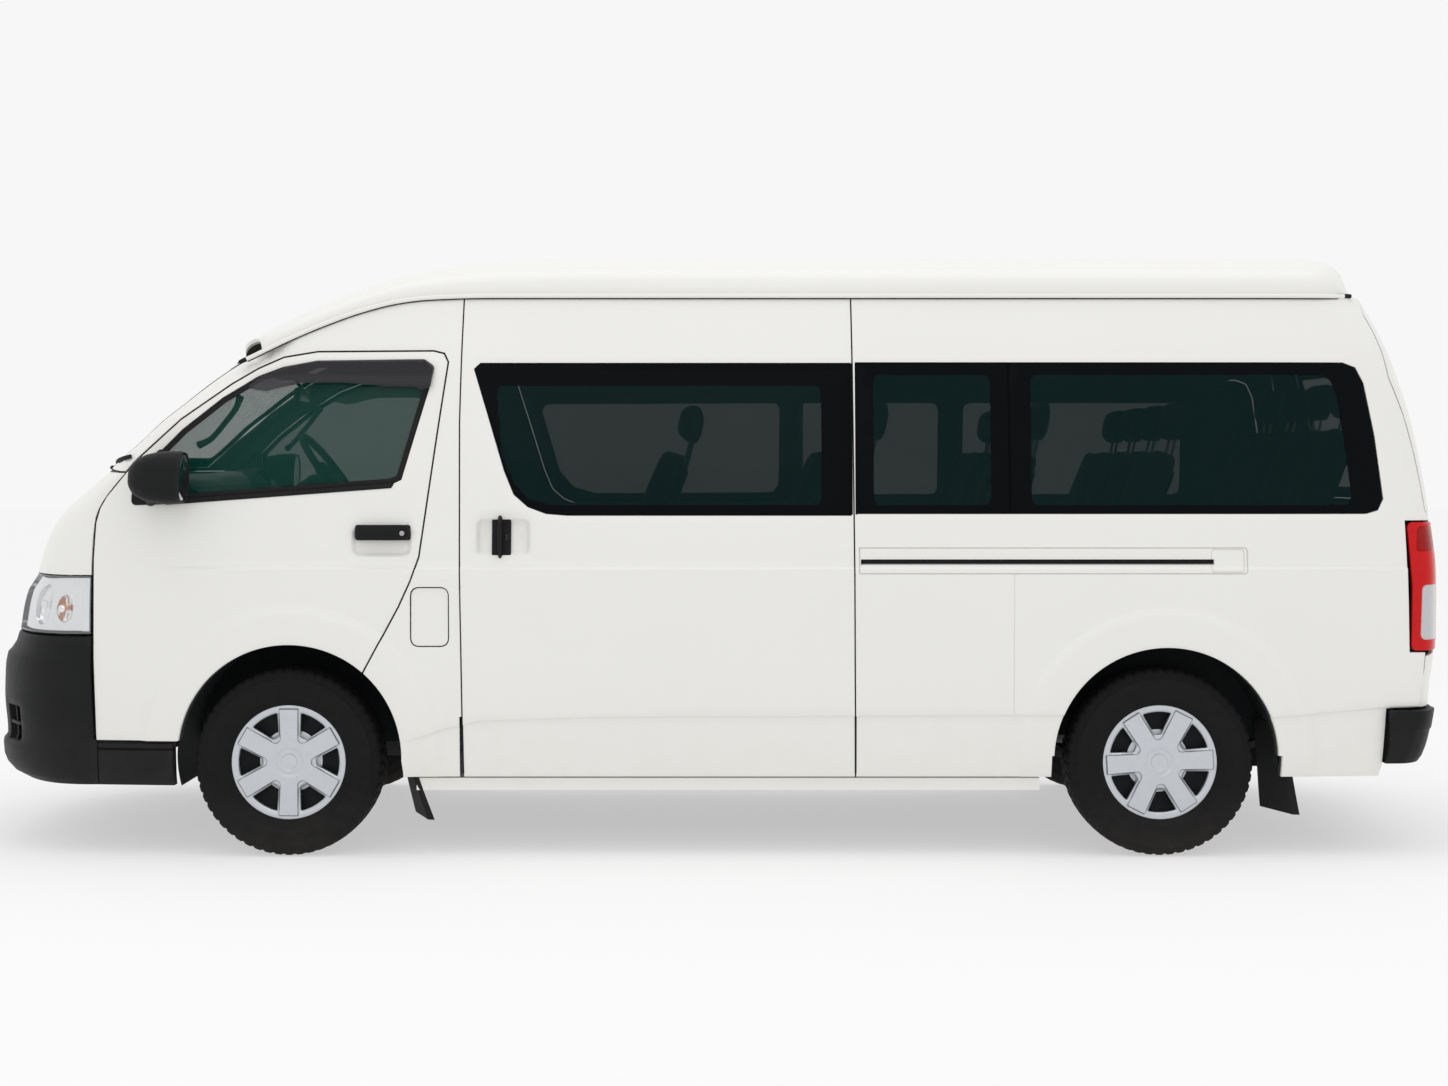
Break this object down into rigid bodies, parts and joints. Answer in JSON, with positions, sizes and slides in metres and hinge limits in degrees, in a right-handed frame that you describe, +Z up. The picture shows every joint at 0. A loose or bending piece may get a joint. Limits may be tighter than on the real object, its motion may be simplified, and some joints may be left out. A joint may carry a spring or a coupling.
{
  "type": "high-roof minivan",
  "caption": "Long high-roof passenger van with opening cab doors, tailgate, bonnet and fuel flap, steered front wheels and seats inside.",
  "frame": {"origin": "on the ground, under the middle of the overall box", "axes": "+Z up, -X towards the nose, -Y towards the vehicle's left side, the side in the picture"},
  "size_m": [5.3797, 2.26, 2.182],
  "materials": {
    "body_paint": "gloss off-white paint",
    "tinted_glass": "dark green tinted glass",
    "lamp_lens": "clear lens over a chrome reflector",
    "red_lens": "red lens",
    "black_plastic": "satin black, fine grain",
    "interior_plastic": "dark grey, fine grain",
    "seat_cloth": "dark grey woven cloth",
    "underbody": "matt dark underbody coat",
    "tyre_rubber": "matt black rubber",
    "wheel_silver": "satin silver wheel cover"
  },
  "bodies": {
    "van_body": {"side_panel_left": "body_paint", "side_panel_right": "body_paint", "roof": "body_paint", "front_body": "body_paint", "sliding_door": "body_paint", "sliding_door_glass": "tinted_glass", "side_window_right": "tinted_glass", "side_glass_left": "tinted_glass", "side_glass_right": "tinted_glass", "windscreen": "tinted_glass", "headlight_left": "lamp_lens", "headlight_right": "lamp_lens", "tail_light_left": "red_lens", "tail_light_right": "red_lens", "front_bumper": "black_plastic", "rear_bumper": "black_plastic", "grille": "black_plastic", "dashboard": "interior_plastic", "front_seats": "seat_cloth", "seat_row_1": "seat_cloth", "seat_row_2": "seat_cloth", "seat_row_3": "seat_cloth", "seat_row_4": "seat_cloth", "seat_row_5": "seat_cloth", "floor": "underbody", "wheelhouse_left": "underbody", "wheelhouse_right": "underbody", "sill_left": "underbody", "sill_right": "underbody", "firewall": "underbody", "chassis_frame": "underbody", "engine": "underbody", "prop_shaft": "underbody", "rear_axle": "underbody", "front_suspension": "underbody", "fuel_tank": "underbody", "exhaust": "underbody", "spare_wheel": "tyre_rubber"},
    "cab_door_left": {"front_door_left": "body_paint", "front_door_glass_left": "tinted_glass", "mirror_left": "black_plastic"},
    "cab_door_right": {"front_door_right": "body_paint", "front_door_glass_right": "tinted_glass", "mirror_right": "black_plastic"},
    "bonnet": {"hood": "body_paint"},
    "back_gate": {"tailgate": "body_paint", "tailgate_glass": "tinted_glass"},
    "filler_flap": {"fuel_flap": "body_paint"},
    "steering": {"steering_wheel": "interior_plastic"},
    "hub_left": {"knuckle_left": "underbody"},
    "hub_right": {"knuckle_right": "underbody"},
    "front_wheel_left": {"tyre_front_left": "tyre_rubber", "wheel_front_left": "wheel_silver"},
    "front_wheel_right": {"tyre_front_right": "tyre_rubber", "wheel_front_right": "wheel_silver"},
    "rear_wheel_left": {"tyre_rear_left": "tyre_rubber", "wheel_rear_left": "wheel_silver"},
    "rear_wheel_right": {"tyre_rear_right": "tyre_rubber", "wheel_rear_right": "wheel_silver"}
  },
  "joints": [
    {"name": "cab_door_left_hinge", "type": "hinge", "parent": "van_body", "child": "cab_door_left", "pos_m": [-2.192, -0.905, 0.8], "axis": [0, 0, -1], "range_deg": [0, 65]},
    {"name": "cab_door_right_hinge", "type": "hinge", "parent": "van_body", "child": "cab_door_right", "pos_m": [-2.192, 0.905, 0.8], "axis": [0, 0, 1], "range_deg": [0, 65]},
    {"name": "bonnet_hinge", "type": "hinge", "parent": "van_body", "child": "bonnet", "pos_m": [-2.275, 0, 1.362], "axis": [0, 1, 0], "range_deg": [0, 50]},
    {"name": "back_gate_hinge", "type": "hinge", "parent": "van_body", "child": "back_gate", "pos_m": [2.43, 0, 1.965], "axis": [0, -1, 0], "range_deg": [0, 85]},
    {"name": "filler_flap_hinge", "type": "hinge", "parent": "van_body", "child": "filler_flap", "pos_m": [-1.052, -0.942, 0.856], "axis": [0, 0, -1], "range_deg": [0, 85]},
    {"name": "steer_left", "type": "hinge", "parent": "van_body", "child": "hub_left", "pos_m": [-1.496, -0.745, 0.335], "axis": [0, 0, 1], "range_deg": [-33, 33]},
    {"name": "steer_right", "type": "hinge", "parent": "van_body", "child": "hub_right", "pos_m": [-1.496, 0.745, 0.335], "axis": [0, 0, 1], "range_deg": [-33, 33]},
    {"name": "steering_turn", "type": "hinge", "parent": "van_body", "child": "steering", "pos_m": [-1.575, 0.42, 1.36], "axis": [0.8, 0, 0.6], "range_deg": [-600, 600]},
    {"name": "front_left_spin", "type": "hinge", "parent": "hub_left", "child": "front_wheel_left", "pos_m": [-1.496, -0.8275, 0.335], "axis": [0, 1, 0], "continuous": true},
    {"name": "front_right_spin", "type": "hinge", "parent": "hub_right", "child": "front_wheel_right", "pos_m": [-1.496, 0.8275, 0.335], "axis": [0, 1, 0], "continuous": true},
    {"name": "rear_left_spin", "type": "hinge", "parent": "van_body", "child": "rear_wheel_left", "pos_m": [1.614, -0.8275, 0.335], "axis": [0, 1, 0], "continuous": true},
    {"name": "rear_right_spin", "type": "hinge", "parent": "van_body", "child": "rear_wheel_right", "pos_m": [1.614, 0.8275, 0.335], "axis": [0, 1, 0], "continuous": true}
  ],
  "couplings": [
    {"joint": "steer_right", "follows": "steer_left", "ratio": 1},
    {"joint": "steering_turn", "follows": "steer_left", "ratio": 18}
  ]
}
